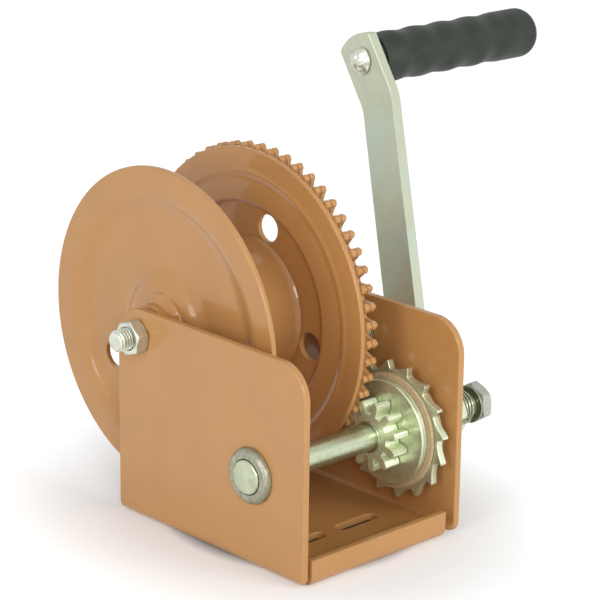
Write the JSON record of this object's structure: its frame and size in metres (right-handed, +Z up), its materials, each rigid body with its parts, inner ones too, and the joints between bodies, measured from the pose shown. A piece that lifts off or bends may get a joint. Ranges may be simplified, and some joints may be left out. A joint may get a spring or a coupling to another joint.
{
  "type": "hand winch",
  "caption": "Hand winch with a flanged rope drum on a bent steel frame, a spur gear drive, a ratchet friction brake and a side crank with a turning grip.",
  "frame": {"origin": "underside of the base, midway between the outer faces of the side plates and midway from front to back", "axes": "+X along the shafts towards the crank, +Y towards the back where the drum overhangs, +Z up"},
  "size_m": [0.3257, 0.2117, 0.2335],
  "materials": {
    "paint": "glossy tan-orange paint over sheet steel",
    "zinc": "zinc-plated steel with a faint green-yellow tint",
    "steel": "plain turned steel",
    "bronze": "plain sintered bronze",
    "friction": "dull brown friction lining",
    "spring_steel": "drawn spring wire, lightly plated",
    "grip": "matte black moulded plastic"
  },
  "bodies": {
    "frame": {"side_frame": "paint", "shaft_bush_left": "steel", "shaft_bush_right": "bronze", "axle_bolt": "zinc", "axle_nut": "zinc", "axle_washer": "zinc", "axle_spacer_left": "zinc", "axle_spacer_right": "zinc", "pawl_bolt": "zinc", "pawl_nut": "zinc", "pawl_sleeve": "zinc", "pawl_spring": "spring_steel"},
    "drum": {"drum_hub": "paint", "drum_bush_left": "bronze", "drum_bush_right": "bronze", "drum_flange_left": "paint", "drum_core": "paint", "drum_flange_right": "paint", "gear_plate_inner": "paint", "gear_plate_outer": "paint"},
    "shaft": {"pinion_shaft": "zinc", "pinion": "zinc", "pressure_flange": "zinc", "ratchet_bush": "bronze", "pressure_plate": "zinc", "crank_spring": "spring_steel", "spring_washer": "zinc", "crank_nut": "zinc"},
    "ratchet": {"ratchet_wheel": "zinc", "lining_left": "friction", "lining_right": "friction"},
    "pawl": {"pawl": "zinc"},
    "crank": {"crank_hub": "zinc", "hub_collar": "zinc", "crank_arm": "zinc", "grip_pin": "zinc", "grip_washer": "grip"},
    "grip": {"grip": "grip"}
  },
  "joints": [
    {"name": "drum_spin", "type": "hinge", "parent": "frame", "child": "drum", "pos_m": [0, 0.0537, 0.1005], "axis": [1, 0, 0], "continuous": true},
    {"name": "shaft_spin", "type": "hinge", "parent": "frame", "child": "shaft", "pos_m": [0, -0.0328, 0.04934], "axis": [1, 0, 0], "continuous": true},
    {"name": "ratchet_spin", "type": "hinge", "parent": "frame", "child": "ratchet", "pos_m": [0.0444, -0.0328, 0.04934], "axis": [1, 0, 0], "continuous": true},
    {"name": "pawl_lift", "type": "hinge", "parent": "frame", "child": "pawl", "pos_m": [0.0444, -0.0028, 0.09214], "axis": [1, 0, 0], "range_deg": [-8, 22], "stiffness_Nm_per_rad": 0.05, "springref_deg": -19.48},
    {"name": "brake_release", "type": "hinge", "parent": "shaft", "child": "crank", "pos_m": [0.068, -0.0328, 0.04934], "axis": [1, 0, 0], "range_deg": [0, 25], "stiffness_Nm_per_rad": 0.4, "springref_deg": -28.65},
    {"name": "grip_spin", "type": "hinge", "parent": "crank", "child": "grip", "pos_m": [0.189, 0.07143, 0.21745], "axis": [1, 0, 0], "continuous": true}
  ],
  "couplings": [
    {"joint": "shaft_spin", "follows": "drum_spin", "ratio": -5.0909}
  ]
}
